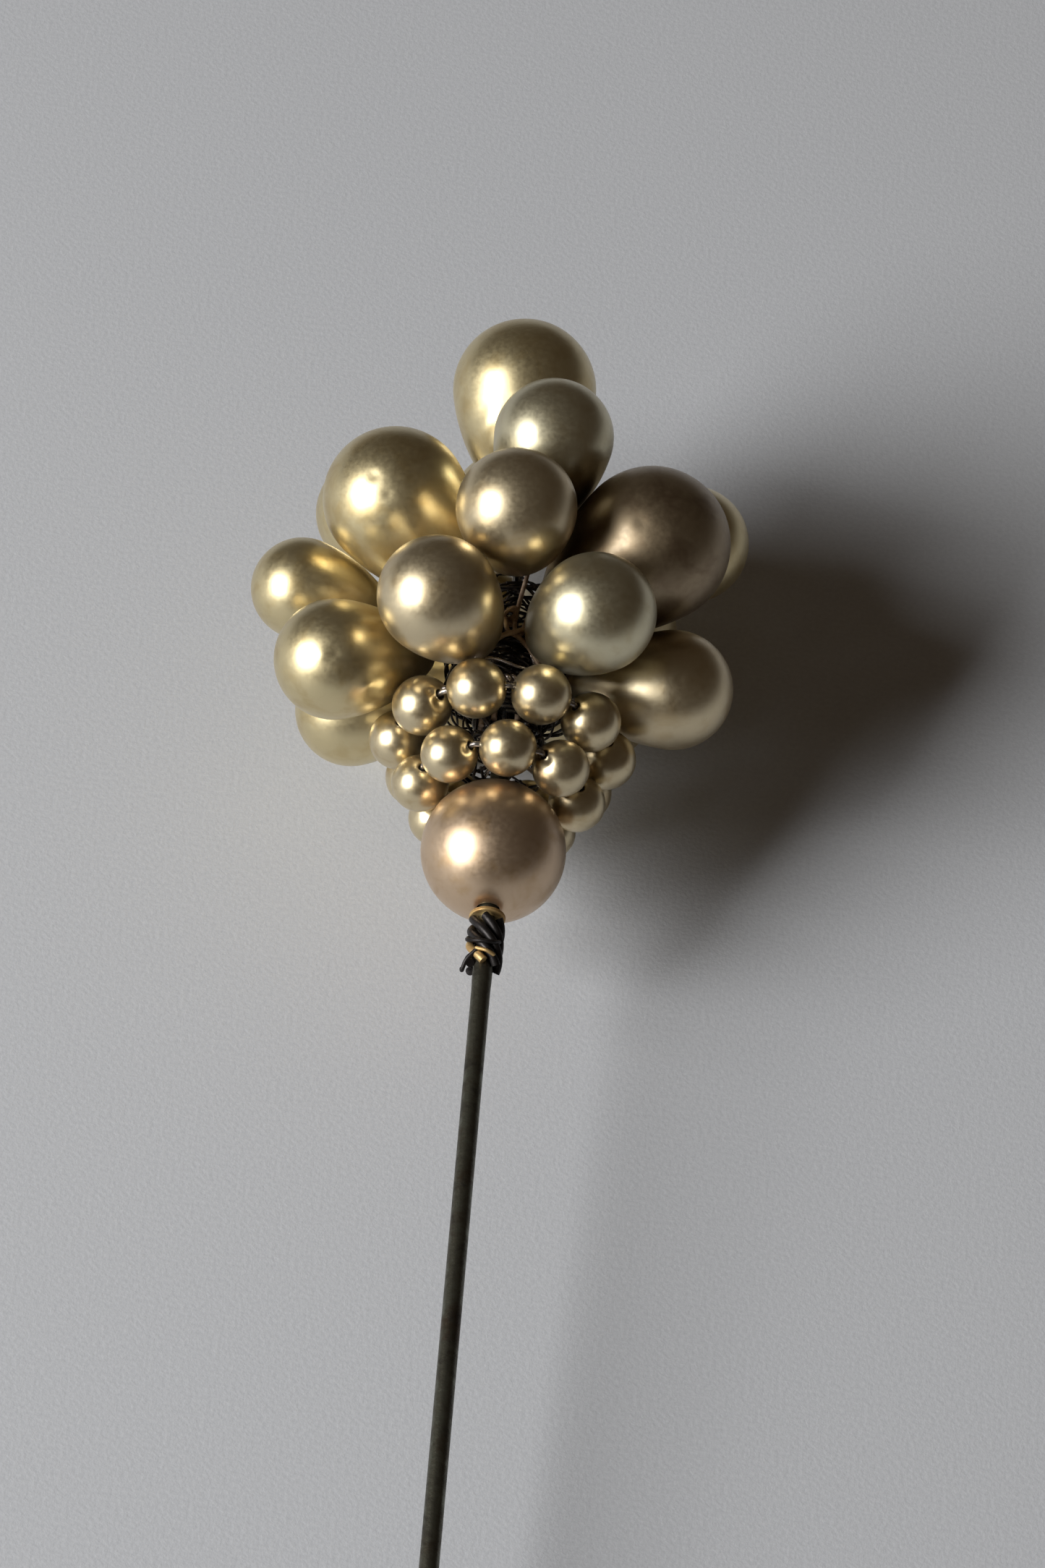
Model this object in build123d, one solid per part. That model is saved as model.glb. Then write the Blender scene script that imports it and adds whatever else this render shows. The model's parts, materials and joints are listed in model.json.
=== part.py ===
from build123d import *
import math
import os

import numpy as np

# A hat pin: imitation pearls wired to the head of a long steel pin.
#
# Pin frame, used for the design: Z runs up the pin from the point to the crown, the centre of the
# base pearl is the origin, and azimuth 0 is the front of the head (-Y), growing towards +X.
# Row frame, used for the written parts: the pin lies on a table, +Z up, its point towards -Y.
# All sizes are in millimetres, all angles in degrees.

# ---- steel stem ---------------------------------------------------------------------------------
STEM_RADIUS = 0.65
TINNED_RADIUS = STEM_RADIUS + 0.03    # the stretch in the head and neck has a coat of tin
TINNED_BELOW_NECK = 1.0       # how far the tinning runs below the neck
TINNING_TAPER = 0.8           # over which it then thins out to bare steel
STEM_BELOW = 150.0            # from the base pearl's centre down to the point
STEM_ABOVE = 17.0             # from the base pearl's centre up into the head
POINT_LENGTH = 12.0
POINT_RADIUS = 0.12

# ---- neck: washer under the base pearl, then the strands twisted round the stem ------------------
WASHER_RADIUS = 1.25
WASHER_THICKNESS = 0.3
WASHER_GAP = 0.4              # from the base pearl down to the washer
NECK_LENGTH = 4.0
NECK_STRANDS = 6              # one of them is brass, the rest are blackened
NECK_STRAND_RADIUS = 0.3
NECK_PITCH = 7.0              # length of one full turn of a strand

# ---- pearls -------------------------------------------------------------------------------------
BASE_PEARL_RADIUS = 5.0
LOWER_PEARL_RADIUS = 2.0
UPPER_PEARL_RADIUS = 2.1
# drops: widest diameter, length
TINY_DROP = (7.2, 10.4)
SLIM_DROP = (7.9, 11.4)
MEDIUM_DROP = (8.4, 12.0)
LARGE_DROP = (10.2, 14.2)
GREAT_DROP = (11.0, 15.0)
NARROW_END = 0.38             # radius of a drop's narrow end, as a share of the radius of its big end
FLANK_FULLNESS = 1.25         # 1 is the flattest flank that still meets both ends smoothly

# ---- the two rings of small pearls, threaded on lacing wires -------------------------------------
LOWER_RING_COUNT = 8
LOWER_RING_SPACING = 0.17     # gap between neighbours
LOWER_RING_SEAT = 0.31        # gap between the ring and the base pearl that it sits on
LOWER_RING_TURN = 4.0         # azimuth of its first pearl
UPPER_RING_COUNT = 10
UPPER_RING_SPACING = 0.25
UPPER_RING_SEAT = 0.02        # gap between a lower pearl and an upper one straight above it
UPPER_RING_TURN = 19.0
LACING_RADIUS = 0.2
LACING_BEND = 0.5
TIE_RADIUS = 0.15
TIE_BEND = 0.3
LOWER_TIE_FOOT = -0.2         # where the ties meet the stem, above the upper ring
UPPER_TIE_FOOT = 0.7
TIE_TAIL = 0.7                # how far a tie then runs down along the stem
TIE_LIFT = 1.05               # how far a tie passes above the ring, between two pearls

# ---- stalks and the lashing that holds them -------------------------------------------------------
STALK_RADIUS = 0.2
STALK_BEND = 0.6
STALK_FOOT = 1.4              # lower end of the gathered stalks, above the upper ring
STALK_DEPTH = 4.5             # how far a stalk is set into its drop
LASHING_RADIUS = 0.14
LASHING_START = 1.8           # above the upper ring
LASHING_LENGTH = 2.1
LASHING_PITCH = 0.4

# ---- clearances ---------------------------------------------------------------------------------
THREADING_CLEARANCE = 0.08    # pearl hole to the wire or stem that it turns on
LAYER_CLEARANCE = 0.02        # between wires laid side by side in the core
LASHING_CLEARANCE = 0.06      # between the stalks and the lashing round them
DROP_CLEARANCE = 0.03         # between a drop and any other pearl

# ---- where each drop stands: azimuth, height above the upper ring and reach of its big end's
# ---- centre, the height above the ring that its narrow end points to, and its size ----------------
LOWER_ROW = [
    (-26, 4.6, 12.0, 6.4, MEDIUM_DROP),
    (30, 5.3, 11.2, 7.4, MEDIUM_DROP),
    (84, 5.5, 11.5, 5.4, MEDIUM_DROP),
    (136, 9.4, 9.0, 4.9, MEDIUM_DROP),
    (-151, 9.4, 10.5, 6.9, MEDIUM_DROP),
    (-110, 5.1, 11.5, 5.0, SLIM_DROP),
    (-68, 2.9, 13.0, 8.4, MEDIUM_DROP),
]
MIDDLE_ROW = [
    (-2, 11.9, 12.0, 13.9, MEDIUM_DROP),
    (54.5, 14.0, 10.9, 8.9, GREAT_DROP),
    (97, 20.4, 12.0, 10.9, MEDIUM_DROP),
    (143, 18.4, 12.5, 11.4, MEDIUM_DROP),
    (-169, 17.6, 10.1, 10.9, MEDIUM_DROP),
    (-112, 22.9, 11.5, 13.4, MEDIUM_DROP),
    (-86, 11.6, 15.0, 8.4, TINY_DROP),
    (-53, 15.8, 11.2, 8.9, LARGE_DROP),
]
CROWN = [
    (10, 20.1, 9.6, 13.4, MEDIUM_DROP),
    (-10, 28.7, 4.0, 14.9, LARGE_DROP),
    (-169, 25.6, 6.0, 16.9, MEDIUM_DROP),
]
SETTLING_ROUNDS = 400         # drops that would overlap are moved apart at most this many times
PUSH_SHARE = 0.6              # how much of an overlap each of the two drops makes good in a round
REST_ROLL = 0.0               # which way up the pin lies: the azimuth that faces upwards


# ---- helpers ------------------------------------------------------------------------------------
def polar(azimuth, reach, height):
    """A point in the pin frame."""
    turn = math.radians(azimuth)
    return Vector(reach * math.sin(turn), -reach * math.cos(turn), height)


def tangent(azimuth):
    """The direction of growing azimuth."""
    turn = math.radians(azimuth)
    return Vector(math.cos(turn), math.sin(turn), 0)


def wire(path, radius):
    """A round wire along a path."""
    start = Plane(origin=path @ 0, z_dir=path % 0)
    return sweep(start * Circle(radius), path=path)


def bent_wire(points, radius, bend):
    """A round wire along straight runs with rounded bends."""
    return wire(FilletPolyline(*points, radius=bend), radius)


def coil(radius, wire_radius, pitch, length, start_height, azimuth, lefthand=False):
    """A round wire wound in a helix about the pin's axis."""
    path = Helix(pitch, length, radius, lefthand=lefthand)
    placed = Pos(0, 0, start_height) * Rot(0, 0, azimuth - 90) * path
    return wire(placed, wire_radius)


def arc_between(centre, start, end):
    """The short arc from start to end about centre, in the XZ plane."""
    middle = ((start - centre).normalized() + (end - centre).normalized()).normalized()
    return ThreePointArc(start, centre + middle * (start - centre).length, end)


# ---- stem and neck ------------------------------------------------------------------------------
WASHER_BOTTOM = -BASE_PEARL_RADIUS - WASHER_GAP - WASHER_THICKNESS
NECK_FOOT = WASHER_BOTTOM - NECK_LENGTH
TINNED_FOOT = NECK_FOOT - TINNED_BELOW_NECK
SHAFT_TOP = TINNED_FOOT - TINNING_TAPER


def make_stem():
    tip = -STEM_BELOW
    outline = Polyline(
        (0, 0, STEM_ABOVE),
        (TINNED_RADIUS, 0, STEM_ABOVE),
        (TINNED_RADIUS, 0, TINNED_FOOT),
        (STEM_RADIUS, 0, SHAFT_TOP),
        (STEM_RADIUS, 0, tip + POINT_LENGTH),
        (POINT_RADIUS, 0, tip + POINT_RADIUS),
    )
    nose = arc_between(Vector(0, 0, tip + POINT_RADIUS), Vector(POINT_RADIUS, 0, tip + POINT_RADIUS),
                       Vector(0, 0, tip))
    axis_line = Line((0, 0, tip), (0, 0, STEM_ABOVE))
    return revolve(make_face(outline + nose + axis_line), Axis.Z, 360)


def make_washer():
    """A thin brass disc, tight on the stem, its outer edges rounded."""
    disc = Cylinder(WASHER_RADIUS, WASHER_THICKNESS)
    disc = fillet(disc.edges().filter_by(GeomType.CIRCLE), WASHER_THICKNESS / 3)
    disc -= Cylinder(TINNED_RADIUS, 2 * WASHER_THICKNESS)
    return Pos(0, 0, WASHER_BOTTOM + WASHER_THICKNESS / 2) * disc


def make_neck_strand(number):
    reach = TINNED_RADIUS + NECK_STRAND_RADIUS + LAYER_CLEARANCE
    return coil(reach, NECK_STRAND_RADIUS, NECK_PITCH, NECK_LENGTH - NECK_STRAND_RADIUS, NECK_FOOT,
                number * 360 / NECK_STRANDS, lefthand=True)


# ---- pearls -------------------------------------------------------------------------------------
def make_round_pearl(radius, hole_radius):
    """A round pearl with its hole along Z."""
    return Sphere(radius) - Cylinder(hole_radius, 3 * radius)


def drop_shape(size):
    """Radii of a drop's big and small ends, the span between their centres, and the flank's arc."""
    width, length = size
    big = width / 2
    small = big * NARROW_END
    span = length - big - small
    flank = FLANK_FULLNESS * (span ** 2 / (big - small) + big + small) / 2
    drop_z = (span ** 2 + (flank - big) ** 2 - (flank - small) ** 2) / (2 * span)
    flank_centre = Vector(-math.sqrt((flank - big) ** 2 - drop_z ** 2), 0, -drop_z)
    return big, small, span, flank, flank_centre


def make_drop(size):
    """A drop: big end at the origin, narrow end towards -Z, a blind hole for its stalk."""
    big, small, span, _, flank_centre = drop_shape(size)
    big_centre = Vector(0, 0, 0)
    small_centre = Vector(0, 0, -span)
    shoulder = big_centre + (big_centre - flank_centre).normalized() * big
    throat = small_centre + (small_centre - flank_centre).normalized() * small
    top = Vector(0, 0, big)
    bottom = Vector(0, 0, -span - small)
    outline = (arc_between(big_centre, top, shoulder) + arc_between(flank_centre, shoulder, throat)
               + arc_between(small_centre, throat, bottom) + Line(bottom, top))
    solid = revolve(make_face(outline), Axis.Z, 360)
    hole = Pos(0, 0, -span - small + STALK_DEPTH) * Cylinder(
        STALK_RADIUS, 2 * STALK_DEPTH, align=(Align.CENTER, Align.CENTER, Align.MAX))
    return solid - hole


def drop_balls(size, steps=8):
    """Balls that fill a drop: the distance of each below the big end's centre, and its radius."""
    _, _, span, flank, flank_centre = drop_shape(size)
    depths = [span * step / steps for step in range(steps + 1)]
    return [(depth, flank - (Vector(0, 0, -depth) - flank_centre).length) for depth in depths]


def drop_lie(azimuth, height, reach, aim):
    """The centre of a drop's big end, and the direction from its narrow end to its big end."""
    centre = polar(azimuth, reach, height)
    return centre, (centre - Vector(0, 0, aim)).normalized()


# ---- rings --------------------------------------------------------------------------------------
def ring_reach(count, radius, spacing):
    return (radius + spacing / 2) / math.sin(math.pi / count)


LOWER_RING_REACH = ring_reach(LOWER_RING_COUNT, LOWER_PEARL_RADIUS, LOWER_RING_SPACING)
UPPER_RING_REACH = ring_reach(UPPER_RING_COUNT, UPPER_PEARL_RADIUS, UPPER_RING_SPACING)
LOWER_SEATED_AT = BASE_PEARL_RADIUS + LOWER_PEARL_RADIUS + LOWER_RING_SEAT
UPPER_SEATED_AT = LOWER_PEARL_RADIUS + UPPER_PEARL_RADIUS + UPPER_RING_SEAT
LOWER_RING_HEIGHT = math.sqrt(LOWER_SEATED_AT ** 2 - LOWER_RING_REACH ** 2)
UPPER_RING_HEIGHT = LOWER_RING_HEIGHT + math.sqrt(
    UPPER_SEATED_AT ** 2 - (UPPER_RING_REACH - LOWER_RING_REACH) ** 2)
# count, pearl radius, reach, height, azimuth of the first pearl, height of the ties' feet
RINGS = {
    "lower": (LOWER_RING_COUNT, LOWER_PEARL_RADIUS, LOWER_RING_REACH, LOWER_RING_HEIGHT,
              LOWER_RING_TURN, UPPER_RING_HEIGHT + LOWER_TIE_FOOT),
    "upper": (UPPER_RING_COUNT, UPPER_PEARL_RADIUS, UPPER_RING_REACH, UPPER_RING_HEIGHT,
              UPPER_RING_TURN, UPPER_RING_HEIGHT + UPPER_TIE_FOOT),
}


def ring_pearl_lie(ring, number):
    """The centre of a ring's pearl and the direction of its hole."""
    count, _, reach, height, turn, _ = RINGS[ring]
    azimuth = turn + number * 360 / count
    return polar(azimuth, reach, height), tangent(azimuth)


def ring_corner(ring, number):
    """Azimuth and reach of the bend in the lacing after a ring's pearl."""
    count, _, reach, _, turn, _ = RINGS[ring]
    return turn + (number + 0.5) * 360 / count, reach / math.cos(math.pi / count)


def make_lacing(ring):
    """A closed wire: straight through each pearl, bent between them."""
    count, _, reach, height, _, _ = RINGS[ring]
    bend_turn = 360 / count
    half_run = reach * math.tan(math.pi / count) - LACING_BEND * math.tan(math.pi / count)
    pieces = []
    for number in range(count):
        centre, along = ring_pearl_lie(ring, number)
        run = Plane(origin=centre - along * half_run, z_dir=along) * Cylinder(
            LACING_RADIUS, 2 * half_run, align=(Align.CENTER, Align.CENTER, Align.MIN))
        azimuth, corner_reach = ring_corner(ring, number)
        inset = LACING_BEND / math.cos(math.pi / count)
        elbow_centre = polar(azimuth, corner_reach - inset, height)
        end = centre + along * half_run
        elbow = revolve(Plane(origin=end, z_dir=along) * Circle(LACING_RADIUS),
                        Axis(elbow_centre, (0, 0, 1)), bend_turn)
        pieces += [run, elbow]
    return pieces[0].fuse(*pieces[1:])


def make_ties(ring):
    """Wires from every other bend of a lacing, over the ring, in to the stem."""
    count, _, reach, height, _, foot = RINGS[ring]
    middle_reach = reach * math.cos(math.pi / count)
    ties = []
    for number in range(0, count, 2):
        azimuth, corner_reach = ring_corner(ring, number)
        beside_stem = TINNED_RADIUS + TIE_RADIUS + LAYER_CLEARANCE
        points = [
            polar(azimuth, corner_reach, height + LACING_RADIUS),
            polar(azimuth, middle_reach, height + TIE_LIFT),
            polar(azimuth, (middle_reach + beside_stem) / 2, (height + TIE_LIFT + foot) / 2 + TIE_LIFT / 3),
            polar(azimuth, beside_stem, foot),
            polar(azimuth, beside_stem, foot - TIE_TAIL),
        ]
        ties.append(bent_wire(points, TIE_RADIUS, TIE_BEND))
    return Compound(children=ties)


# ---- settling: drops that would overlap push each other outwards ----------------------------------
def standing(row):
    """A row's drops with their heights from the base pearl's centre, standing clear of the rings."""
    return [(azimuth, UPPER_RING_HEIGHT + height, reach, UPPER_RING_HEIGHT + aim, size)
            for azimuth, height, reach, aim, size in row]


def ball_set(centres_and_radii):
    """Centres and radii of balls, each as one array."""
    centres = np.array([tuple(centre) for centre, _ in centres_and_radii])
    return centres, np.array([radius for _, radius in centres_and_radii])


def balls_of(drop):
    centre, outward = drop_lie(*drop[:4])
    return ball_set([(centre - outward * depth, radius) for depth, radius in drop_balls(drop[4])])


def lacking(balls, others):
    """How far two sets of balls lack their clearance; negative where they are clear."""
    centres, radii = balls
    other_centres, other_radii = others
    apart = np.linalg.norm(centres[:, None] - other_centres[None], axis=2)
    return float((radii[:, None] + other_radii[None] + DROP_CLEARANCE - apart).max())


def shifted(drop, way):
    """The drop with its big end moved."""
    centre = drop_lie(*drop[:4])[0] + way
    azimuth = math.degrees(math.atan2(centre.X, -centre.Y))
    return (azimuth, centre.Z, math.hypot(centre.X, centre.Y)) + drop[3:]


def settled(rows):
    """The drops of all rows, moved apart where they would overlap each other or a ring's pearl."""
    drops = [(row, drop) for row, row_drops in rows.items() for drop in row_drops]
    rings = ball_set([(ring_pearl_lie(ring, n)[0], radius)
                      for ring, (count, radius, *_) in RINGS.items() for n in range(count)])
    balls = [balls_of(drop) for _, drop in drops]
    for _ in range(SETTLING_ROUNDS):
        moved = False
        for i, (row, drop) in enumerate(drops):
            away = polar(drop[0], 1, 0)
            push = (away + Vector(0, 0, 1)).normalized() * max(0, lacking(balls[i], rings))
            for j in range(len(drops)):
                lack = lacking(balls[i], balls[j]) if j != i else 0
                if lack > 0:
                    apart = Vector(*(balls[i][0][0] - balls[j][0][0])).normalized()
                    push += (apart * 2 + away).normalized() * lack * PUSH_SHARE
            if push.length > 0:
                drops[i] = (row, shifted(drop, push))
                balls[i] = balls_of(drops[i][1])
                moved = True
        if not moved:
            break
    return {name: [drop for row, drop in drops if row == name] for name in rows}


# ---- stalks -------------------------------------------------------------------------------------
CORE_LAYERS = {
    name: TINNED_RADIUS + STALK_RADIUS + LAYER_CLEARANCE + step * (2 * STALK_RADIUS + LAYER_CLEARANCE)
    for step, name in enumerate(["crown", "middle", "lower"])
}
ROWS = settled({"lower": standing(LOWER_ROW), "middle": standing(MIDDLE_ROW), "crown": standing(CROWN)})


def make_stalk(row, azimuth, height, reach, aim, size):
    """The wire of one drop: out of its narrow end to the core, then down along the core."""
    centre, outward = drop_lie(azimuth, height, reach, aim)
    layer = CORE_LAYERS[row]
    corner_height = aim + (height - aim) * layer / reach
    width, length = size
    set_in = centre - outward * (length - width / 2 - STALK_DEPTH)
    foot = polar(azimuth, layer, UPPER_RING_HEIGHT + STALK_FOOT)
    points = [set_in, polar(azimuth, layer, corner_height), foot]
    return bent_wire(points, STALK_RADIUS, STALK_BEND)


def make_lashing():
    reach = CORE_LAYERS["lower"] + STALK_RADIUS + LASHING_RADIUS + LASHING_CLEARANCE
    start_height = UPPER_RING_HEIGHT + LASHING_START
    return coil(reach, LASHING_RADIUS, LASHING_PITCH, LASHING_LENGTH, start_height, 0)


# ---- all parts in the pin frame -------------------------------------------------------------------
def make_parts():
    parts = {
        "pin_stem": make_stem(),
        "neck_washer": make_washer(),
        "neck_binding": Compound(children=[make_neck_strand(n) for n in range(1, NECK_STRANDS)]),
        "neck_brass_strand": make_neck_strand(0),
        "base_pearl": make_round_pearl(BASE_PEARL_RADIUS, TINNED_RADIUS + THREADING_CLEARANCE),
        "core_lashing": make_lashing(),
    }
    for ring, (count, radius, *_) in RINGS.items():
        threaded = make_round_pearl(radius, LACING_RADIUS + THREADING_CLEARANCE)
        parts[f"{ring}_ring_lacing"] = make_lacing(ring)
        parts[f"{ring}_ring_ties"] = make_ties(ring)
        for number in range(count):
            centre, along = ring_pearl_lie(ring, number)
            place = Plane(origin=centre, x_dir=(0, 0, 1), z_dir=along).location
            parts[f"{ring}_ring_pearl_{number + 1:02d}"] = place * threaded
    for row, drops in ROWS.items():
        stalks = [make_stalk(row, *drop) for drop in drops]
        parts[f"{row}_stalks"] = Compound(children=stalks)
        for number, (azimuth, height, reach, aim, size) in enumerate(drops, start=1):
            centre, outward = drop_lie(azimuth, height, reach, aim)
            place = Plane(origin=centre, x_dir=tangent(azimuth), z_dir=outward).location
            parts[f"{row}_drop_{number}"] = place * make_drop(size)
    return parts


# ---- lying on the table ---------------------------------------------------------------------------
def pearl_balls():
    """Centre and radius of everything in the head that could touch the table."""
    balls = [(Vector(0, 0, 0), BASE_PEARL_RADIUS)]
    for ring, (count, radius, *_) in RINGS.items():
        balls += [(ring_pearl_lie(ring, n)[0], radius) for n in range(count)]
    for drops in ROWS.values():
        balls += [(drop_lie(*drop[:4])[0], drop[4][0] / 2) for drop in drops]
    return balls


def resting_up():
    """Up, in the pin frame, when the pin rests on its point and two pearls.

    The table touches three balls, so its normal n has n.(c - t) = r - r_t for two of the pearls,
    and no other ball reaches below it. Of all such tables, the one nearest to REST_ROLL is taken.
    """
    tip = Vector(0, 0, POINT_RADIUS - STEM_BELOW)
    spans = [(centre - tip, radius - POINT_RADIUS) for centre, radius in pearl_balls()]
    wanted = polar(REST_ROLL, 1, 0)
    found = []
    for first, (a, rise_a) in enumerate(spans):
        for b, rise_b in spans[first + 1:]:
            aa, ab, bb = a.dot(a), a.dot(b), b.dot(b)
            determinant = aa * bb - ab * ab
            along_a = (rise_a * bb - rise_b * ab) / determinant
            along_b = (rise_b * aa - rise_a * ab) / determinant
            flat = a * along_a + b * along_b
            normal = a.cross(b)
            rest = (1 - flat.dot(flat)) / normal.dot(normal)
            if rest < 0:
                continue
            for side in (1, -1):
                up = flat + normal * (side * math.sqrt(rest))
                if all(up.dot(span) > rise - 1e-6 for span, rise in spans):
                    found.append(up)
    return max(found, key=lambda up: up.dot(wanted)), tip


def lying_location(parts):
    """Moves the pin frame to the row frame: origin under the middle of the lying pin."""
    up, tip = resting_up()
    along = Vector(0, 0, 1) - up * up.Z
    table = Plane(origin=tip - up * POINT_RADIUS, x_dir=along.cross(up), z_dir=up)
    lay = table.location.inverse()
    boxes = [(lay * solid).bounding_box() for solid in parts.values()]
    middle_x = (min(box.min.X for box in boxes) + max(box.max.X for box in boxes)) / 2
    middle_y = (min(box.min.Y for box in boxes) + max(box.max.Y for box in boxes)) / 2
    return Pos(-middle_x, -middle_y, 0) * lay


PARTS = make_parts()
LYING = lying_location(PARTS)
os.makedirs("parts", exist_ok=True)
for name, solid in PARTS.items():
    export_step(LYING * solid, f"parts/{name}.step")
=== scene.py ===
import json
import math
import random

import bpy
import numpy as np
from mathutils import Matrix, Vector, noise


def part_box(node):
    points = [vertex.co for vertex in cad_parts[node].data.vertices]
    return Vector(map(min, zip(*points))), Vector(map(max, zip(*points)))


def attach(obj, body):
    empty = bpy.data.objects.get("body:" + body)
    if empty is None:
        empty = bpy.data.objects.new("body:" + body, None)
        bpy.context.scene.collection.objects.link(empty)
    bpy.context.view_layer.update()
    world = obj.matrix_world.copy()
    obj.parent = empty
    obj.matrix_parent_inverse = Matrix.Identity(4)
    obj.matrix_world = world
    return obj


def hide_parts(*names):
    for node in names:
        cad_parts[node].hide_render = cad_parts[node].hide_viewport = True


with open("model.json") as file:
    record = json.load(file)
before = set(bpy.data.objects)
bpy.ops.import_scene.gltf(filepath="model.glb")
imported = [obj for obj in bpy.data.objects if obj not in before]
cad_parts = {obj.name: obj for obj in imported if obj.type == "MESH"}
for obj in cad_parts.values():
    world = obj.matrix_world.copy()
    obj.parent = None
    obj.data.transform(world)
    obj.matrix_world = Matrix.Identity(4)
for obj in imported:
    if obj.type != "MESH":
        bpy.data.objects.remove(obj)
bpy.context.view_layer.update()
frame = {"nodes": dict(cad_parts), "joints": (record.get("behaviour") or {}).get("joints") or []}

# A hat pin of imitation pearls. Shapes are worked out in millimetres in the pin's own frame and then
# placed in the row frame, in metres: AXIS runs up the pin to the crown, azimuth 0 is FRONT, the side
# that faces up as the pin lies, and azimuths grow towards SIDE.
MM = 0.001
JOINTS = {joint["name"]: joint for joint in frame["joints"]}
HEAD = Vector(JOINTS["base_pearl_spin"]["pos_m"])          # the base pearl's centre
AXIS = Vector(JOINTS["base_pearl_spin"]["axis"]).normalized()
FRONT = (Vector((0, 0, 1)) - AXIS * AXIS.z).normalized()
SIDE = AXIS.cross(FRONT)


def direction(azimuth):
    turn = math.radians(azimuth)
    return FRONT * math.cos(turn) + SIDE * math.sin(turn)


def pin_point(azimuth, reach, height):
    """A point of the pin frame, given in millimetres, in the row frame."""
    return HEAD + (direction(azimuth) * reach + AXIS * height) * MM


# ---- camera: pitched towards the pin's point from square on, with the pin leaning a little ---------
CAMERA_PITCH = math.radians(35.5)
CAMERA_LEAN = math.radians(5.0)
CAMERA_DISTANCE = 0.480
CAMERA_LENS = 161.0
CAMERA_SENSOR = 36.0
AIM_RIGHT = 2.0 * MM          # the aim point beside and above the base pearl, as the camera sees it
AIM_UP = 4.6 * MM

BACKWARD = FRONT * math.cos(CAMERA_PITCH) - AXIS * math.sin(CAMERA_PITCH)
UPWARD = FRONT * math.sin(CAMERA_PITCH) + AXIS * math.cos(CAMERA_PITCH)
VIEW_RIGHT = SIDE * math.cos(CAMERA_LEAN) + UPWARD * math.sin(CAMERA_LEAN)
VIEW_UP = UPWARD * math.cos(CAMERA_LEAN) - SIDE * math.sin(CAMERA_LEAN)


def facing_frame(right, up, back, place):
    """The matrix of a camera or lamp that looks along -back."""
    matrix = Matrix((right, up, back)).transposed().to_4x4()
    matrix.translation = place
    return matrix


def add_camera():
    data = bpy.data.cameras.new("camera")
    data.lens = CAMERA_LENS
    data.sensor_width = CAMERA_SENSOR
    data.clip_start = 0.01
    camera = bpy.data.objects.new("camera", data)
    bpy.context.scene.collection.objects.link(camera)
    aim = HEAD + VIEW_RIGHT * AIM_RIGHT + VIEW_UP * AIM_UP
    camera.matrix_world = facing_frame(VIEW_RIGHT, VIEW_UP, BACKWARD, aim + BACKWARD * CAMERA_DISTANCE)
    bpy.context.scene.camera = camera


# ---- light: one large window to the left, a dim warm room ----------------------------------------
WINDOW_WAY = (-0.78, 0.12, 0.615)       # to the window: right, up and back as the camera sees it
WINDOW_DISTANCE = 1.0
WINDOW_SIZE = (0.54, 0.60)
WINDOW_POWER = 13.2
WINDOW_COLOUR = (1.0, 1.0, 0.985)
ROOM_COLOUR = (0.040, 0.030, 0.021)


def add_light():
    right, up, back = WINDOW_WAY
    way = (VIEW_RIGHT * right + VIEW_UP * up + BACKWARD * back).normalized()
    across = VIEW_UP.cross(way).normalized()
    data = bpy.data.lights.new("window", "AREA")
    data.shape = "RECTANGLE"
    data.size, data.size_y = WINDOW_SIZE
    data.energy = WINDOW_POWER
    data.color = WINDOW_COLOUR
    lamp = bpy.data.objects.new("window", data)
    bpy.context.scene.collection.objects.link(lamp)
    lamp.matrix_world = facing_frame(across, way.cross(across), way, HEAD + way * WINDOW_DISTANCE)
    world = bpy.data.worlds.new("room")
    world.use_nodes = True
    world.node_tree.nodes["Background"].inputs["Color"].default_value = (*ROOM_COLOUR, 1)
    bpy.context.scene.world = world
    bpy.context.scene.view_settings.view_transform = "Standard"


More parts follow.
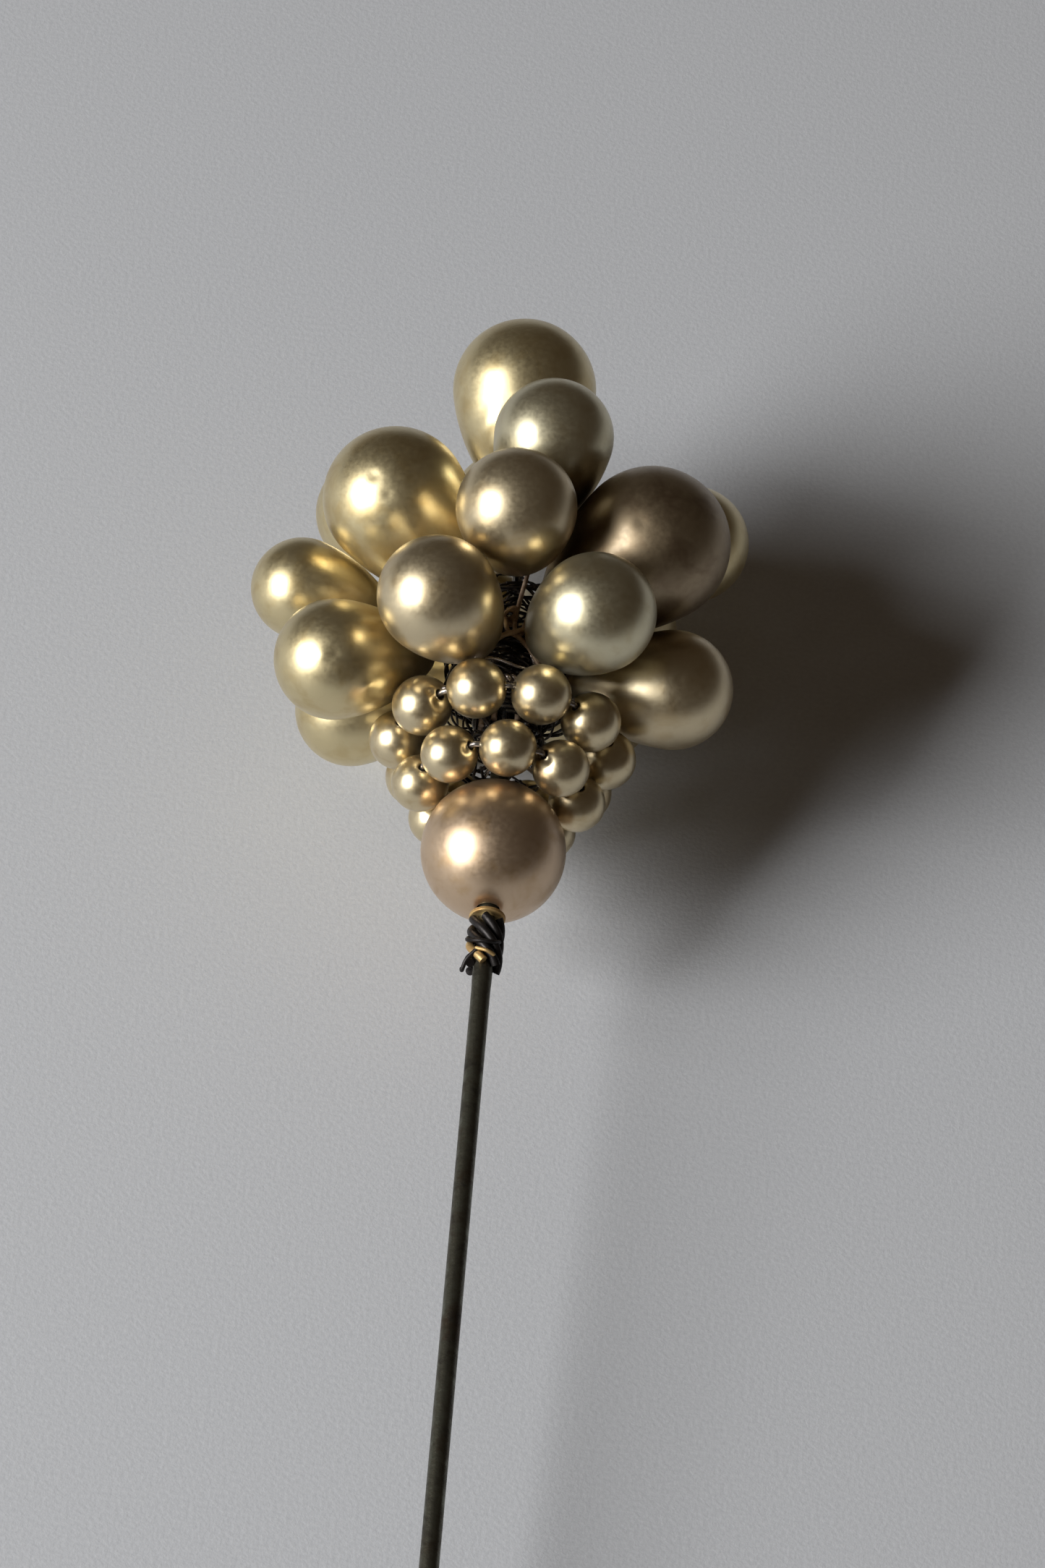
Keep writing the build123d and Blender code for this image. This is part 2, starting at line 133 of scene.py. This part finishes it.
# ---- material helpers ----------------------------------------------------------------------------
class Paint:
    """A material and short ways to add nodes to it. Positions are the object's own, in metres."""

    def __init__(self, name, **sockets):
        self.material = bpy.data.materials.new(name)
        self.material.use_nodes = True
        self.nodes = self.material.node_tree.nodes
        self.shader = self.nodes["Principled BSDF"]
        self.place = self.nodes.new("ShaderNodeTexCoord").outputs["Object"]
        for socket, value in sockets.items():
            self.shader.inputs[socket.replace("_", " ").title().replace("Ior", "IOR")].default_value = value

    def link(self, output, target):
        self.material.node_tree.links.new(output, target)

    def squeezed(self, scale):
        """The position stretched along the pin's axes, for streaks."""
        node = self.nodes.new("ShaderNodeMapping")
        node.inputs["Scale"].default_value = scale
        self.link(self.place, node.inputs["Vector"])
        return node.outputs["Vector"]

    def noise(self, size, detail=2.0, rough=0.5, warp=0.0, place=None):
        """Noise whose features are about size metres across."""
        node = self.nodes.new("ShaderNodeTexNoise")
        node.inputs["Scale"].default_value = 1 / size
        node.inputs["Detail"].default_value = detail
        node.inputs["Roughness"].default_value = rough
        node.inputs["Distortion"].default_value = warp
        self.link(place or self.place, node.inputs["Vector"])
        return node.outputs["Fac"]

    def ramp(self, value, stops):
        """A colour for each stop of a value."""
        node = self.nodes.new("ShaderNodeValToRGB")
        elements = node.color_ramp.elements
        while len(elements) < len(stops):
            elements.new(0.5)
        for element, (at, colour) in zip(elements, stops):
            element.position = at
            element.color = (*colour, 1)
        self.link(value, node.inputs["Fac"])
        return node.outputs["Color"]

    def spread(self, value, low, high, start=0.3, end=0.7):
        """A value from low to high as another goes from start to end."""
        node = self.nodes.new("ShaderNodeMapRange")
        for socket, number in zip(("From Min", "From Max", "To Min", "To Max"), (start, end, low, high)):
            node.inputs[socket].default_value = number
        self.link(value, node.inputs["Value"])
        return node.outputs["Result"]

    def mix(self, share, first, second):
        node = self.nodes.new("ShaderNodeMix")
        node.data_type = "RGBA"
        self.link(share, node.inputs["Factor"])
        self.link(first, node.inputs["A"])
        self.link(second, node.inputs["B"])
        return node.outputs["Result"]

    def bump(self, height, depth, below=None):
        """Relief of that depth in metres, over an earlier one."""
        node = self.nodes.new("ShaderNodeBump")
        node.inputs["Distance"].default_value = depth
        self.link(height, node.inputs["Height"])
        if below:
            self.link(below, node.inputs["Normal"])
        return node.outputs["Normal"]


def shade(colour, factor):
    return tuple(channel * factor for channel in colour)


def nacre(name, tint, blush, roughness=0.29, mottle=0.0022):
    """Pearl lacquer: flakes that mirror the room softly, under a thin clear coat."""
    paint = Paint(name, metallic=0.96, coat_weight=0.3, coat_roughness=0.24, coat_ior=1.5)
    clouds = paint.noise(mottle, 3, 0.55, 0.4)
    paint.link(paint.ramp(clouds, [(0.3, blush), (0.52, tint), (0.75, shade(tint, 1.04))]),
               paint.shader.inputs["Base Color"])
    flakes = paint.noise(0.00035, 3, 0.6)
    paint.link(paint.spread(flakes, roughness - 0.03, roughness + 0.05), paint.shader.inputs["Roughness"])
    paint.link(paint.bump(paint.noise(0.0011, 2), 0.000006), paint.shader.inputs["Normal"])
    return paint.material


def tarnished_steel():
    """Dark steel with green-grey and rusty blotches and fine scratches along the pin."""
    paint = Paint("tarnished_steel", metallic=0.9)
    blotches = paint.noise(0.0013, 4, 0.6, 0.8)
    colour = paint.ramp(blotches, [(0.3, (0.05, 0.045, 0.036)), (0.5, (0.11, 0.105, 0.08)),
                                   (0.7, (0.16, 0.165, 0.13))])
    rust = paint.ramp(paint.noise(0.0024, 5, 0.65), [(0.0, (0.05, 0.028, 0.016)), (1.0, (0.07, 0.04, 0.022))])
    patches = paint.spread(paint.noise(0.0035, 4, 0.7), 0, 0.75, 0.52, 0.68)
    paint.link(paint.mix(patches, colour, rust), paint.shader.inputs["Base Color"])
    paint.link(paint.spread(blotches, 0.5, 0.32), paint.shader.inputs["Roughness"])
    scratches = paint.noise(0.0003, 3, 0.6, place=paint.squeezed((1, 0.04, 0.3)))
    pits = paint.bump(paint.noise(0.0005, 4, 0.6), 0.00003)
    paint.link(paint.bump(scratches, 0.00001, pits), paint.shader.inputs["Normal"])
    return paint.material


def old_wire(name, dull, bright, grain=0.0007, roughness=0.38, metallic=0.9):
    """Wire with patches of tarnish."""
    paint = Paint(name, metallic=metallic)
    tarnish = paint.noise(grain, 4, 0.6, 0.5)
    paint.link(paint.ramp(tarnish, [(0.32, dull), (0.68, bright)]), paint.shader.inputs["Base Color"])
    paint.link(paint.spread(tarnish, roughness + 0.15, roughness - 0.08), paint.shader.inputs["Roughness"])
    paint.link(paint.bump(paint.noise(0.00025, 3, 0.6), 0.000012), paint.shader.inputs["Normal"])
    return paint.material


def paper():
    """Matt paper with a fine grain."""
    paint = Paint("paper", roughness=0.9)
    grain = paint.noise(0.00032, 3, 0.6)
    paint.link(paint.ramp(grain, [(0.3, (0.57, 0.585, 0.62)), (0.7, (0.635, 0.65, 0.685))]),
               paint.shader.inputs["Base Color"])
    paint.link(paint.bump(grain, 0.000025), paint.shader.inputs["Normal"])
    return paint.material


# ---- mesh helpers --------------------------------------------------------------------------------
def mesh_object(name, points, faces, material):
    """points are row-frame positions in metres."""
    mesh = bpy.data.meshes.new(name)
    mesh.from_pydata([tuple(point) for point in points], [], faces)
    mesh.validate()
    mesh.materials.append(material)
    mesh.shade_smooth()
    piece = bpy.data.objects.new(name, mesh)
    bpy.context.scene.collection.objects.link(piece)
    return piece


def arc(centre, radius, start, end, steps):
    """Points (reach, height) of an arc; angles run from straight up towards the outside."""
    reach, height = centre
    turns = np.linspace(start, end, steps)
    return [(reach + radius * math.sin(turn), height + radius * math.cos(turn)) for turn in turns]


def turned(outline, segments, loop=False):
    """Vertices, normals and faces of an outline (reach, height) turned about Z.

    An outline point on the axis makes one vertex. With loop, the last ring joins the first.
    """
    profile = np.array(outline)
    if loop:
        ahead, behind = np.roll(profile, -1, 0), np.roll(profile, 1, 0)
    else:
        ahead = np.vstack([profile[1:], profile[-1:]])
        behind = np.vstack([profile[:1], profile[:-1]])
    run = ahead - behind
    run /= np.linalg.norm(run, axis=1)[:, None]
    angles = np.linspace(0, 2 * math.pi, segments, endpoint=False)
    points, normals, rings = [], [], []
    for (reach, height), (run_reach, run_height) in zip(profile, run):
        first = len(points)
        turns = angles if reach > 1e-9 else [0.0]
        for turn in turns:
            points.append((reach * math.cos(turn), reach * math.sin(turn), height))
            normals.append((-run_height * math.cos(turn), -run_height * math.sin(turn), run_reach))
        if len(turns) == 1:
            normals[-1] = (0, 0, math.copysign(1, run_reach))
        rings.append(range(first, len(points)))
    faces = []
    pairs = list(zip(rings, rings[1:])) + ([(rings[-1], rings[0])] if loop else [])
    for upper, lower in pairs:
        for k in range(segments):
            n = (k + 1) % segments
            if len(upper) == 1:
                faces.append((upper[0], lower[k], lower[n]))
            elif len(lower) == 1:
                faces.append((upper[k], lower[0], upper[n]))
            else:
                faces.append((upper[k], lower[k], lower[n], upper[n]))
    return np.array(points), np.array(normals), faces


def tube(centres, radii, sides=12):
    """Vertices and faces of a round wire with tapered ends; radii are in the unit of the points."""
    line = np.array([tuple(point) for point in centres], float)
    radii = np.broadcast_to(np.array(radii, float), len(line)).copy()
    heading = np.gradient(line, axis=0)
    heading /= np.linalg.norm(heading, axis=1)[:, None]
    start_cap = line[:1] - heading[:1] * radii[0] * 0.5
    end_cap = line[-1:] + heading[-1:] * radii[-1] * 0.5
    line = np.vstack([start_cap, line, end_cap])
    heading = np.vstack([heading[:1], heading, heading[-1:]])
    radii = np.concatenate([[radii[0] * 0.6], radii, [radii[-1] * 0.6]])
    across = np.cross(heading[0], (0.3, 0.5, 0.8))
    points = []
    for centre, way, radius in zip(line, heading, radii):
        across = across - way * across.dot(way)
        across /= np.linalg.norm(across)
        other = np.cross(way, across)
        for k in range(sides):
            turn = 2 * math.pi * k / sides
            points.append(centre + (across * math.cos(turn) + other * math.sin(turn)) * radius)
    faces = [tuple(range(sides))[::-1], tuple(range(len(points) - sides, len(points)))]
    for ring in range(len(line) - 1):
        for k in range(sides):
            a, b = ring * sides + k, ring * sides + (k + 1) % sides
            faces.append((a, b, b + sides, a + sides))
    return points, faces


def joined(parts):
    """One set of vertices and faces from several."""
    points, faces = [], []
    for more_points, more_faces in parts:
        shift = len(points)
        points += list(more_points)
        faces += [tuple(corner + shift for corner in face) for face in more_faces]
    return points, faces


def smooth_line(knots, steps=8):
    """A smooth line through a few points (Catmull-Rom)."""
    knots = [np.array(tuple(knot), float) for knot in knots]
    knots = [2 * knots[0] - knots[1]] + knots + [2 * knots[-1] - knots[-2]]
    line = []
    for a, b, c, d in zip(knots, knots[1:], knots[2:], knots[3:]):
        for step in range(steps):
            t = step / steps
            line.append(0.5 * (2 * b + (c - a) * t + (2 * a - 5 * b + 4 * c - d) * t ** 2
                               + (3 * b - a - 3 * c + d) * t ** 3))
    line.append(knots[-2])
    return line


# ---- pearls --------------------------------------------------------------------------------------
RIM = 0.12                    # rounding of a pearl's hole
NARROW_END = 0.38             # a drop's narrow end, as a share of its big end
FLANK_FULLNESS = 1.25
DROP_HOLE = 0.27
DROP_HOLE_DEPTH = 3.0
UNEVENNESS = 0.035            # how far lacquer and bead stray from the true shape
BASE_HOLE = 0.76
SMALL_HOLE = 0.28
DROP_STEPS, BASE_STEPS, SMALL_STEPS = 44, 64, 40            # points along an outline's main arc
DROP_SEGMENTS, BASE_SEGMENTS, SMALL_SEGMENTS = 128, 128, 72  # points round a pearl


class Dent:
    """A local change of a pearl's surface, placed as the camera sees it on the pearl's face.

    right and up are shares of the pearl's radius, size is its half width and rise its height.
    """

    def __init__(self, right, up, size, rise, stretch=1.0):
        depth = math.sqrt(max(0.0, 1 - right ** 2 - up ** 2))
        self.way = VIEW_RIGHT * right + VIEW_UP * up + BACKWARD * depth
        self.size = size
        self.rise = rise
        self.stretch = stretch

    def lift(self, offset, radius):
        """The lift at an offset from the pearl's centre, in millimetres."""
        gap = offset - self.way * radius
        along = gap.dot(VIEW_UP) / self.stretch
        other = gap - VIEW_UP * gap.dot(VIEW_UP)
        return self.rise * math.exp(-(along ** 2 + other.length_squared) / self.size ** 2)


def round_outline(radius, hole, steps):
    reach = hole + RIM
    height = math.sqrt((radius - RIM) ** 2 - reach ** 2)
    edge = math.atan2(reach, height)
    upper_rim = arc((reach, height), RIM, -math.pi / 2, edge, 5)
    lower_rim = [(r, -h) for r, h in reversed(upper_rim)]
    bore = [(hole, height * share) for share in (-0.6, -0.2, 0.2, 0.6)]
    return upper_rim + arc((0, 0), radius, edge, math.pi - edge, steps)[1:-1] + lower_rim + bore


def drop_outline(width, length, steps):
    big = width / 2
    small = big * NARROW_END
    span = length - big - small
    flank = FLANK_FULLNESS * (span ** 2 / (big - small) + big + small) / 2
    drop_z = (span ** 2 + (flank - big) ** 2 - (flank - small) ** 2) / (2 * span)
    inset = math.sqrt((flank - big) ** 2 - drop_z ** 2)
    shoulder = math.atan2(inset, drop_z)
    throat = math.atan2(inset, drop_z - span)
    rim_reach = DROP_HOLE + RIM
    rim_depth = math.sqrt((small - RIM) ** 2 - rim_reach ** 2)
    edge = math.pi - math.atan2(rim_reach, rim_depth)
    body = (arc((0, 0), big, 0, shoulder, steps)
            + arc((-inset, -drop_z), flank, shoulder, throat, steps)[1:]
            + arc((0, -span), small, throat, edge, steps // 3)[1:]
            + arc((rim_reach, -span - rim_depth), RIM, edge, 1.5 * math.pi, 5)[1:])
    floor = -span - small + DROP_HOLE_DEPTH
    return body + [(DROP_HOLE, floor), (0, floor)]


def pearl(node, centre, outward, outline, segments, material, seed, dents=(), folds=None, loop=False):
    """Makes a pearl and puts it in the place of its CAD node."""
    points, normals, faces = turned(outline, segments, loop)
    turn = outward.to_track_quat("Z", "Y").to_matrix()
    radius = np.hypot(points[:, 0], points[:, 1]).max()
    shift = Vector((seed * 7.3, seed * 3.1, seed * 5.7))
    placed = []
    for point, normal in zip(points, normals):
        offset = turn @ Vector(point)
        lumps = 0.5 + 0.5 * noise.noise(offset * (1.6 / radius) + shift)
        lift = -UNEVENNESS * lumps
        lift += sum(dent.lift(offset, radius) for dent in dents)
        if folds:
            lift += folds(offset, radius)
        placed.append(centre + (offset + turn @ Vector(normal) * lift) * MM)
    piece = mesh_object(f"{node}_nacre", placed, faces, material)
    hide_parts(node)
    return piece


def drop_facts(node):
    """Centre of the big end, direction to it, width and length of a CAD drop, in millimetres."""
    mesh = frame["nodes"][node].data
    mesh.calc_loop_triangles()
    points = np.array([vertex.co for vertex in mesh.vertices]) / MM
    corners = points[np.array([tuple(triangle.vertices) for triangle in mesh.loop_triangles])]
    middle = points.mean(0)
    a, b, c = (corners[:, k] - middle for k in range(3))
    volumes = np.einsum("ij,ij->i", a, np.cross(b, c)) / 6
    centroid = (volumes[:, None] * (a + b + c) / 4).sum(0) / volumes.sum()
    moments = sum(np.einsum("n,ni,nj->ij", volumes, p, q) * (2 if p is q else 1) / 20
                  for p in (a, b, c) for q in (a, b, c)) / volumes.sum()
    values, ways = np.linalg.eigh(moments - np.outer(centroid, centroid))
    way = ways[:, values.argmax()]
    along = (points - middle - centroid) @ way
    if along.max() > -along.min():
        way, along = -way, -along
    spread = points - middle - centroid
    width = 2 * np.linalg.norm(spread - np.outer(along, way), axis=1).max()
    length = along.max() - along.min()
    centre = middle + centroid + way * (along.max() - width / 2)
    return Vector(centre) * MM, Vector(way), width, length


# ---- materials -----------------------------------------------------------------------------------
GOLDEN = nacre("golden_nacre", (0.72, 0.61, 0.36), (0.62, 0.49, 0.25), 0.37)
CREAM = nacre("cream_nacre", (0.70, 0.59, 0.39), (0.61, 0.48, 0.28), 0.36)
COOL = nacre("cool_nacre", (0.69, 0.63, 0.44), (0.61, 0.53, 0.34), 0.36)
# A darker, browner copy of the nacre with a rougher lacquer: its dark tint is painted shade, for a drop that
# the other drops shade from the window.
PAINTED_SHADE_NACRE = nacre("dull_nacre", (0.36, 0.28, 0.18), (0.25, 0.18, 0.11), 0.44)
ROSE = nacre("rose_nacre", (0.68, 0.51, 0.35), (0.58, 0.40, 0.23), 0.38)
SMALL = nacre("small_nacre", (0.71, 0.60, 0.39), (0.61, 0.48, 0.28), 0.33, 0.0012)
STEEL = tarnished_steel()
BLACK_WIRE = old_wire("blackened_wire", (0.010, 0.008, 0.007), (0.045, 0.040, 0.040), 0.0009, 0.42, 0.7)
BRASS = old_wire("brass", (0.42, 0.25, 0.09), (0.78, 0.56, 0.26), 0.0009, 0.42, 0.65)
LACING_WIRE = old_wire("lacing_wire", (0.12, 0.105, 0.095), (0.62, 0.58, 0.55), 0.0009, 0.25)
STALK_WIRE = old_wire("stalk_wire", (0.05, 0.045, 0.042), (0.30, 0.29, 0.28), 0.0009, 0.28)
COPPER_WIRE = old_wire("copper_wire", (0.30, 0.20, 0.14), (0.60, 0.46, 0.34), 0.0008, 0.5, 0.35)
# Near-black wire: the tangle's wires are real, and their near-black colour is also painted shade for the
# head's dark heart.
DARK_WIRE_PAINTED_SHADE = old_wire("dark_wire_painted_shade", (0.008, 0.006, 0.005), (0.07, 0.06, 0.055), 0.0016, 0.34)
SILVER_WIRE = old_wire("silver_wire", (0.30, 0.25, 0.23), (0.78, 0.72, 0.70), 0.0007, 0.25)
PAPER = paper()

# ---- head ----------------------------------------------------------------------------------------
DROP_TONES = {
    "lower_drop_1": CREAM, "lower_drop_2": COOL, "middle_drop_1": CREAM, "crown_drop_1": COOL,
    # middle_drop_2 gets the nacre darkened with painted shade, for the shade the other drops cast on it.
    "middle_drop_2": PAINTED_SHADE_NACRE, "lower_drop_3": CREAM,
}


# the folds, placed like a dent: their middle, the point they curve round, and how they fade
WRINKLE_SPOT = (-0.42, -0.45)
WRINKLE_HUB = (-1.0, -0.1)
WRINKLE_SPREAD = 0.11
WRINKLE_HEIGHT = 0.045        # in millimetres
WRINKLE_TURN = 15             # phase of the waves per radius away from the hub
WRINKLE_SKEW = 3


def wrinkles(offset, radius):
    """Curved folds where the lacquer of the crown's great drop sagged."""
    right, up = offset.dot(VIEW_RIGHT) / radius, offset.dot(VIEW_UP) / radius
    if offset.dot(BACKWARD) < 0:
        return 0.0
    gap = (right - WRINKLE_SPOT[0]) ** 2 + (up - WRINKLE_SPOT[1]) ** 2
    from_hub = math.hypot(right - WRINKLE_HUB[0], up - WRINKLE_HUB[1])
    wave = math.sin(WRINKLE_TURN * from_hub + WRINKLE_SKEW * right)
    return WRINKLE_HEIGHT * math.exp(-gap / WRINKLE_SPREAD) * wave


DENTS = {
    "middle_drop_8": [Dent(-0.28, 0.28, 0.45, -0.07), Dent(-0.08, 0.02, 0.40, -0.05),
                      Dent(-0.40, 0.02, 0.30, -0.04), Dent(0.30, -0.55, 0.9, 0.10, 1.4)],
    "lower_drop_7": [Dent(-0.18, 0.05, 0.45, 0.06), Dent(0.05, 0.1, 0.35, -0.05),
                     Dent(0.55, -0.45, 0.40, 0.12)],
    "lower_drop_6": [Dent(0.62, 0.2, 0.35, 0.10)],
    "middle_drop_2": [Dent(-0.15, 0.25, 0.5, -0.06), Dent(0.25, 0.1, 0.7, 0.05)],
    "lower_drop_3": [Dent(0.1, 0.15, 0.3, -0.05)],
    "crown_drop_1": [Dent(-0.35, 0.1, 0.7, 0.05)],
    "upper_ring_pearl_09": [Dent(0.62, 0.12, 0.55, -0.32), Dent(0.30, 0.45, 0.3, -0.12)],
    "lower_ring_pearl_08": [Dent(0.60, 0.20, 0.40, -0.18)],
    "lower_ring_pearl_02": [Dent(-0.50, 0.30, 0.35, -0.14)],
    "lower_ring_pearl_01": [Dent(-0.15, -0.60, 0.35, -0.06)],
}


def add_drops():
    names = sorted(name for name in frame["nodes"] if "_drop_" in name)
    for seed, name in enumerate(names, start=1):
        centre, outward, width, length = drop_facts(name)
        piece = pearl(name, centre, outward, drop_outline(width, length, DROP_STEPS), DROP_SEGMENTS,
                      DROP_TONES.get(name, GOLDEN), seed, DENTS.get(name, ()),
                      wrinkles if name == "crown_drop_2" else None)
        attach(piece, "pin")


def add_round_pearls():
    for seed, joint in enumerate(frame["joints"], start=31):
        body = joint["child"]
        low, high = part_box(body)
        radius = max(high - low) / 2 / MM
        large = body == "base_pearl"
        if large:
            outline = round_outline(radius, BASE_HOLE, BASE_STEPS)
            segments, material, slot = BASE_SEGMENTS, ROSE, "rose_pearl"
        else:
            outline = round_outline(radius, SMALL_HOLE, SMALL_STEPS)
            segments, material, slot = SMALL_SEGMENTS, SMALL, "small_pearl"
        piece = pearl(body, Vector(joint["pos_m"]), Vector(joint["axis"]), outline, segments,
                      material, seed, DENTS.get(body, ()), loop=True)
        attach(piece, body)


def paint_nodes():
    """Finishes for the CAD nodes that stay."""
    finishes = {
        "pin_stem": STEEL, "neck_washer": BRASS, "neck_binding": BLACK_WIRE, "neck_brass_strand": BRASS,
        "core_lashing": STALK_WIRE, "lower_ring_lacing": LACING_WIRE, "upper_ring_lacing": LACING_WIRE,
        "lower_ring_ties": LACING_WIRE, "upper_ring_ties": LACING_WIRE, "lower_stalks": COPPER_WIRE,
        "middle_stalks": STALK_WIRE, "crown_stalks": STALK_WIRE,
    }
    for name, material in finishes.items():
        slots = frame["nodes"][name].data.materials
        slots.clear()
        slots.append(material)


# ---- loose wires in the heart of the head; the near-black tangle is also painted shade -------------
WIRE_SIDES = 10
TANGLE_SEED = 41
TANGLE_KNOTS = 9
TANGLE_RADII = (0.07, 0.12)
TANGLE_STEP = (28, 62)        # degrees round the core from one knot of a wire to the next
TWIST_STEPS = 14              # points for each turn of a twisted pair
KNOT_LOOPS = 3
KNOT_RADIUS = 0.14


def front_point(across, height, depth):
    """A point in front of the core: millimetres to the side, up the pin, and forwards."""
    return HEAD + (SIDE * across + AXIS * height + FRONT * depth) * MM


def front_line(*places):
    return [front_point(*place) for place in places]


def pin_line(*places):
    return [pin_point(*place) for place in places]


def wires(name, material, lines):
    """One piece of several wires, each a smooth line through knots, and its radius in millimetres."""
    parts = [tube(smooth_line(knots), radius * MM, WIRE_SIDES) for knots, radius in lines]
    piece = mesh_object(name, *joined(parts), material)
    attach(piece, "pin")
    return piece


# how many fine wires, and the heights and reaches from the axis between which they wander
TANGLES = [
    (16, (6.5, 11.2), (1.4, 2.9)),
    (38, (11.7, 16.4), (2.2, 4.6)),
    (24, (16.0, 21.5), (1.9, 3.6)),
]
REACH_STRAY = 0.9             # how far a wire may stray from one knot to the next
HEIGHT_STRAY = 1.7


def tangle_line(chance, heights, reaches):
    """A fine wire that wanders round the core."""
    azimuth = chance.uniform(-180, 180)
    reach, height = chance.uniform(*reaches), chance.uniform(*heights)
    knots = []
    for _ in range(TANGLE_KNOTS):
        knots.append(pin_point(azimuth, reach, height))
        azimuth += chance.uniform(*TANGLE_STEP)
        reach += chance.uniform(-REACH_STRAY, REACH_STRAY)
        reach = min(reaches[1], max(reaches[0], reach))
        height += chance.uniform(-HEIGHT_STRAY, HEIGHT_STRAY)
        height = min(heights[1], max(heights[0], height))
    return knots


def twisted_pair(start, end, sag, radius, turns):
    """Two wires twisted round each other between two points, sagging towards the pin's point."""
    steps = TWIST_STEPS * turns
    along = (end - start).normalized()
    lines = ([], [])
    for step in range(steps + 1):
        share = step / steps
        middle = start.lerp(end, share) - AXIS * sag * MM * math.sin(math.pi * share)
        for side, line in enumerate(lines):
            turn = 2 * math.pi * (turns * share + side / 2)
            other = FRONT * math.cos(turn) + along.cross(FRONT) * math.sin(turn)
            line.append(middle + other * radius * MM)
    return [(line, radius) for line in lines]


def knot_loop(number):
    """One loop of the small knot above the copper wires' crossing."""
    loop = []
    for step in range(9):
        turn = 2 * math.pi * step / 8
        loop.append(front_point(-0.25 + 0.42 * math.cos(turn),
                                16.3 + number * 0.18 + 0.3 * math.sin(turn),
                                5.0 + 0.45 * math.sin(turn + 0.6 * number)))
    return loop


def add_tangle_and_painted_shade():
    # Near-black wires that also fill the gaps between the pearls and rings with painted shade.
    chance = random.Random(TANGLE_SEED)
    tangle = [(tangle_line(chance, heights, reaches), chance.uniform(*TANGLE_RADII))
              for count, heights, reaches in TANGLES for _ in range(count)]
    wires("tangle_and_painted_shade", DARK_WIRE_PAINTED_SHADE, tangle)


def add_copper():
    """Two strands that cross in front of the core, two that run up from there, and a knot."""
    rising_right = front_line((-3.6, 11.3, 4.6), (-2.4, 12.5, 5.2), (-0.9, 14.1, 5.5), (0.0, 14.5, 5.7),
                              (0.9, 15.1, 5.4), (1.9, 16.3, 4.4))
    rising_left = front_line((2.4, 11.7, 4.6), (1.5, 13.2, 5.2), (0.5, 14.3, 5.4), (-0.3, 14.8, 5.4),
                             (-0.55, 15.8, 5.2), (-0.9, 17.4, 4.2))
    left_stalk = front_line((0.2, 14.6, 5.2), (0.1, 16.2, 4.9), (0.35, 18.4, 4.6), (0.7, 20.6, 4.6))
    right_stalk = front_line((0.6, 15.0, 4.9), (1.1, 17.0, 4.8), (1.7, 19.4, 4.6))
    wires("copper_strands", COPPER_WIRE, [
        (rising_right, 0.19), (rising_left, 0.17), (left_stalk, 0.16), (right_stalk, 0.18)])
    loops = [(knot_loop(number), KNOT_RADIUS) for number in range(KNOT_LOOPS)]
    wires("copper_knot", COPPER_WIRE, loops)


def add_silver():
    """Bright wires just above the front pearls of the upper ring."""
    silver = twisted_pair(*front_line((-2.4, 11.75, 4.6), (2.3, 11.6, 4.5)), 0.25, 0.15, 5)
    silver += twisted_pair(*front_line((2.4, 11.5, 4.2), (1.2, 14.6, 4.4)), 0, 0.12, 4)
    single = front_line((-3.4, 12.4, 4.0), (-1.4, 12.9, 4.7), (0.8, 12.3, 4.7), (2.8, 12.5, 4.0))
    silver.append((single, 0.11))
    wires("silver_strands", SILVER_WIRE, silver)


def add_neck_ends():
    """The binding's curled end, a strand that crosses the others, and a glint of brass."""
    curled = pin_line((-20, 1.30, -8.9), (-58, 1.32, -9.5), (-80, 1.36, -9.9), (-90, 1.40, -10.0),
                      (-95, 1.44, -9.8))
    crossing = pin_line((-100, 1.18, -7.2), (-62, 1.32, -7.9), (-20, 1.34, -8.3), (20, 1.30, -8.3),
                        (55, 1.18, -7.9))
    wires("binding_ends", BLACK_WIRE, [(curled, 0.15), (crossing, 0.16)])
    glint = pin_line((-25, 1.36, -8.9), (5, 1.42, -9.15), (30, 1.34, -9.3))
    wires("brass_glint", BRASS, [(glint, 0.13)])


FLOOR_HALF = 3.0              # metres, far beyond the camera's view


def add_floor():
    half = FLOOR_HALF
    corners = [(-half, -half, 0), (half, -half, 0), (half, half, 0), (-half, half, 0)]
    floor = mesh_object("paper_floor", corners, [(0, 1, 2, 3)], PAPER)


add_camera()
add_light()
add_floor()
paint_nodes()
add_drops()
add_round_pearls()
add_tangle_and_painted_shade()
add_copper()
add_silver()
add_neck_ends()
